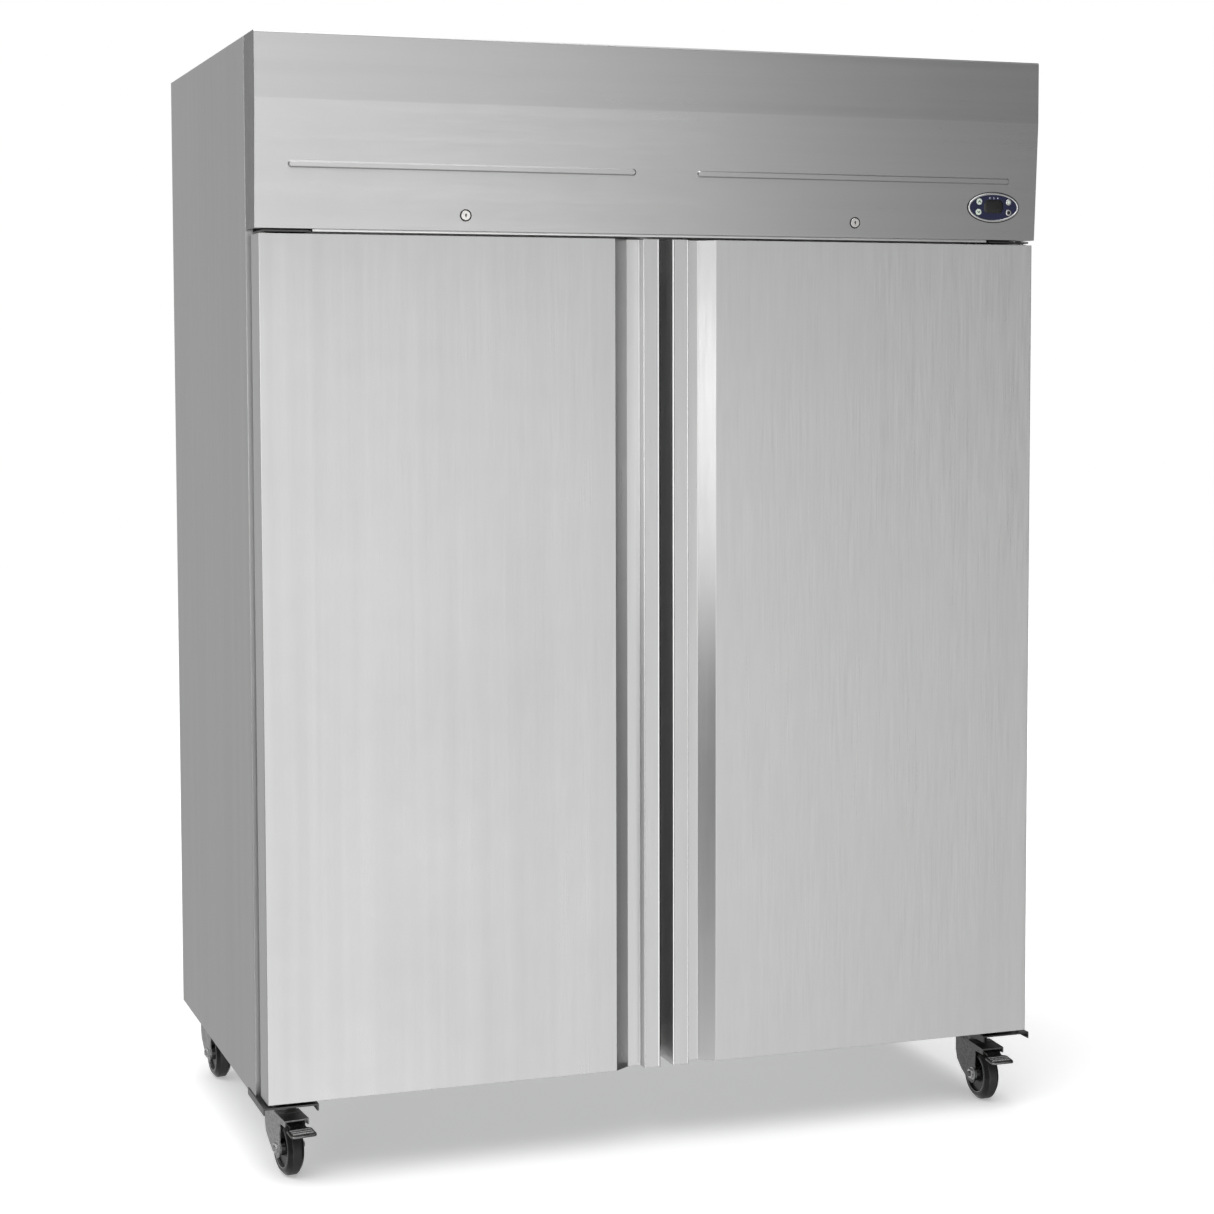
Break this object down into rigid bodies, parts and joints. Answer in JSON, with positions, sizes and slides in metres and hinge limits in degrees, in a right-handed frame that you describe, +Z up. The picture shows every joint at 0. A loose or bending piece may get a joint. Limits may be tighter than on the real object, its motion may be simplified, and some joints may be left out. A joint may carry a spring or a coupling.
{
  "type": "reach in refrigerator",
  "caption": "Upright stainless refrigerator cabinet with side-hinged full-height doors, a leaning top fascia with controls and locks, wire shelves and braked swivel casters.",
  "frame": {"origin": "on the floor, under the centre of the cabinet's bounding box", "axes": "+X to the right of a person facing the doors, +Y towards the back, +Z up"},
  "size_m": [1.484, 0.83, 1.985],
  "materials": {
    "stainless": "fine vertical brushed grain",
    "galvanised": "dull zinc coated sheet",
    "zinc": "bright zinc plated",
    "pedal_steel": "dark satin pressed steel",
    "chrome_wire": "bright plated wire",
    "foam": "rigid foam",
    "seal": "soft matt seal",
    "nylon": "plain white nylon",
    "wheel": "black moulded tread",
    "black_plastic": "fine grain moulded",
    "navy_plastic": "glossy navy overlay",
    "bezel_chrome": "satin plated",
    "copper": "drawn copper tube",
    "fin_aluminium": "thin plain fins",
    "black_paint": "semi gloss black",
    "grey_box": "light grey moulded box"
  },
  "bodies": {
    "cabinet": {"side_panel_left": "stainless", "side_panel_right": "stainless", "back_panel": "galvanised", "base_panel": "galvanised", "roof_panel": "stainless", "rear_grille": "galvanised", "wall_insulation": "foam", "inner_liner": "stainless", "face_frame": "stainless", "centre_mullion": "stainless", "machine_deck": "galvanised", "hinge_brackets": "stainless", "hinge_pins": "stainless", "caster_plates": "galvanised", "shelf_uprights": "stainless", "shelf_runners": "stainless", "shelves": "chrome_wire", "evaporator_coil": "fin_aluminium", "evaporator_cover": "stainless", "fan_motors": "black_paint", "compressor": "black_paint", "condenser_coil": "fin_aluminium", "condenser_fan_shroud": "galvanised", "control_box": "grey_box", "refrigerant_pipes": "copper", "condensate_tray": "stainless", "cable_gland": "black_plastic"},
    "door_left": {"door_skin_left": "stainless", "door_core_left": "foam", "door_liner_left": "stainless", "door_gasket_left": "seal", "door_bushes_left": "nylon"},
    "door_right": {"door_skin_right": "stainless", "door_core_right": "foam", "door_liner_right": "stainless", "door_gasket_right": "seal", "door_bushes_right": "nylon"},
    "header": {"header_panel": "stainless", "lock_housings": "black_plastic", "control_bezel": "bezel_chrome", "control_housing": "navy_plastic"},
    "lock_left": {"lock_cylinder_left": "zinc"},
    "lock_right": {"lock_cylinder_right": "zinc"},
    "button_1": {"control_button_1": "bezel_chrome"},
    "button_2": {"control_button_2": "bezel_chrome"},
    "button_3": {"control_button_3": "bezel_chrome"},
    "button_4": {"control_button_4": "bezel_chrome"},
    "caster_front_left": {"caster_fork_front_left": "zinc"},
    "wheel_front_left": {"wheel_front_left": "wheel"},
    "pedal_front_left": {"brake_pedal_front_left": "pedal_steel"},
    "caster_front_right": {"caster_fork_front_right": "zinc"},
    "wheel_front_right": {"wheel_front_right": "wheel"},
    "pedal_front_right": {"brake_pedal_front_right": "pedal_steel"},
    "caster_rear_left": {"caster_fork_rear_left": "zinc"},
    "wheel_rear_left": {"wheel_rear_left": "wheel"},
    "caster_rear_right": {"caster_fork_rear_right": "zinc"},
    "wheel_rear_right": {"wheel_rear_right": "wheel"},
    "condenser_fan": {"condenser_fan_blade": "black_plastic"},
    "evaporator_fan_left": {"evaporator_fan_left": "black_plastic"},
    "evaporator_fan_right": {"evaporator_fan_right": "black_plastic"}
  },
  "joints": [
    {"name": "door_left_hinge", "type": "hinge", "parent": "cabinet", "child": "door_left", "pos_m": [-0.7215, -0.385, 0.899], "axis": [0, 0, -1], "range_deg": [0, 110]},
    {"name": "door_right_hinge", "type": "hinge", "parent": "cabinet", "child": "door_right", "pos_m": [0.7215, -0.385, 0.899], "axis": [0, 0, 1], "range_deg": [0, 110]},
    {"name": "header_hinge", "type": "hinge", "parent": "cabinet", "child": "header", "pos_m": [0, -0.336, 1.978], "axis": [-1, 0, 0], "range_deg": [0, 70]},
    {"name": "lock_left_turn", "type": "hinge", "parent": "header", "child": "lock_left", "pos_m": [-0.37, -0.40362, 1.683], "axis": [0, 0.9982, 0.0598], "range_deg": [0, 90]},
    {"name": "lock_right_turn", "type": "hinge", "parent": "header", "child": "lock_right", "pos_m": [0.37, -0.40362, 1.683], "axis": [0, 0.9982, 0.0598], "range_deg": [0, 90]},
    {"name": "button_1_press", "type": "slide", "parent": "header", "child": "button_1", "axis": [0, 0.9982, 0.0598], "range_m": [0, 0.0015], "stiffness_N_per_m": 300, "springref_m": -0.0005},
    {"name": "button_2_press", "type": "slide", "parent": "header", "child": "button_2", "axis": [0, 0.9982, 0.0598], "range_m": [0, 0.0015], "stiffness_N_per_m": 300, "springref_m": -0.0005},
    {"name": "button_3_press", "type": "slide", "parent": "header", "child": "button_3", "axis": [0, 0.9982, 0.0598], "range_m": [0, 0.0015], "stiffness_N_per_m": 300, "springref_m": -0.0005},
    {"name": "button_4_press", "type": "slide", "parent": "header", "child": "button_4", "axis": [0, 0.9982, 0.0598], "range_m": [0, 0.0015], "stiffness_N_per_m": 300, "springref_m": -0.0005},
    {"name": "caster_front_left_swivel", "type": "hinge", "parent": "cabinet", "child": "caster_front_left", "pos_m": [-0.6864, -0.2807, 0.125], "axis": [0, 0, 1], "continuous": true},
    {"name": "wheel_front_left_roll", "type": "hinge", "parent": "caster_front_left", "child": "wheel_front_left", "pos_m": [-0.68153, -0.3204, 0.05], "axis": [0.9925, 0.1219, 0], "continuous": true},
    {"name": "pedal_front_left_press", "type": "hinge", "parent": "caster_front_left", "child": "pedal_front_left", "pos_m": [-0.67714, -0.35613, 0.103], "axis": [0.9925, 0.1219, 0], "range_deg": [0, 12]},
    {"name": "caster_front_right_swivel", "type": "hinge", "parent": "cabinet", "child": "caster_front_right", "pos_m": [0.6864, -0.2807, 0.125], "axis": [0, 0, 1], "continuous": true},
    {"name": "wheel_front_right_roll", "type": "hinge", "parent": "caster_front_right", "child": "wheel_front_right", "pos_m": [0.6864, -0.3207, 0.05], "axis": [1, 0, 0], "continuous": true},
    {"name": "pedal_front_right_press", "type": "hinge", "parent": "caster_front_right", "child": "pedal_front_right", "pos_m": [0.6864, -0.3567, 0.103], "axis": [1, 0, 0], "range_deg": [0, 12]},
    {"name": "caster_rear_left_swivel", "type": "hinge", "parent": "cabinet", "child": "caster_rear_left", "pos_m": [-0.6864, 0.3707, 0.125], "axis": [0, 0, 1], "continuous": true},
    {"name": "wheel_rear_left_roll", "type": "hinge", "parent": "caster_rear_left", "child": "wheel_rear_left", "pos_m": [-0.68431, 0.33076, 0.05], "axis": [0.9986, 0.0523, 0], "continuous": true},
    {"name": "caster_rear_right_swivel", "type": "hinge", "parent": "cabinet", "child": "caster_rear_right", "pos_m": [0.6864, 0.3707, 0.125], "axis": [0, 0, 1], "continuous": true},
    {"name": "wheel_rear_right_roll", "type": "hinge", "parent": "caster_rear_right", "child": "wheel_rear_right", "pos_m": [0.68989, 0.33085, 0.05], "axis": [0.9962, 0.0872, 0], "continuous": true},
    {"name": "condenser_fan_spin", "type": "hinge", "parent": "cabinet", "child": "condenser_fan", "pos_m": [0.25, -0.168, 1.8115], "axis": [0, 1, 0], "continuous": true},
    {"name": "evaporator_fan_left_spin", "type": "hinge", "parent": "cabinet", "child": "evaporator_fan_left", "pos_m": [-0.16, 0.081, 1.521], "axis": [0, -1, 0], "continuous": true},
    {"name": "evaporator_fan_right_spin", "type": "hinge", "parent": "cabinet", "child": "evaporator_fan_right", "pos_m": [0.16, 0.081, 1.521], "axis": [0, -1, 0], "continuous": true}
  ]
}
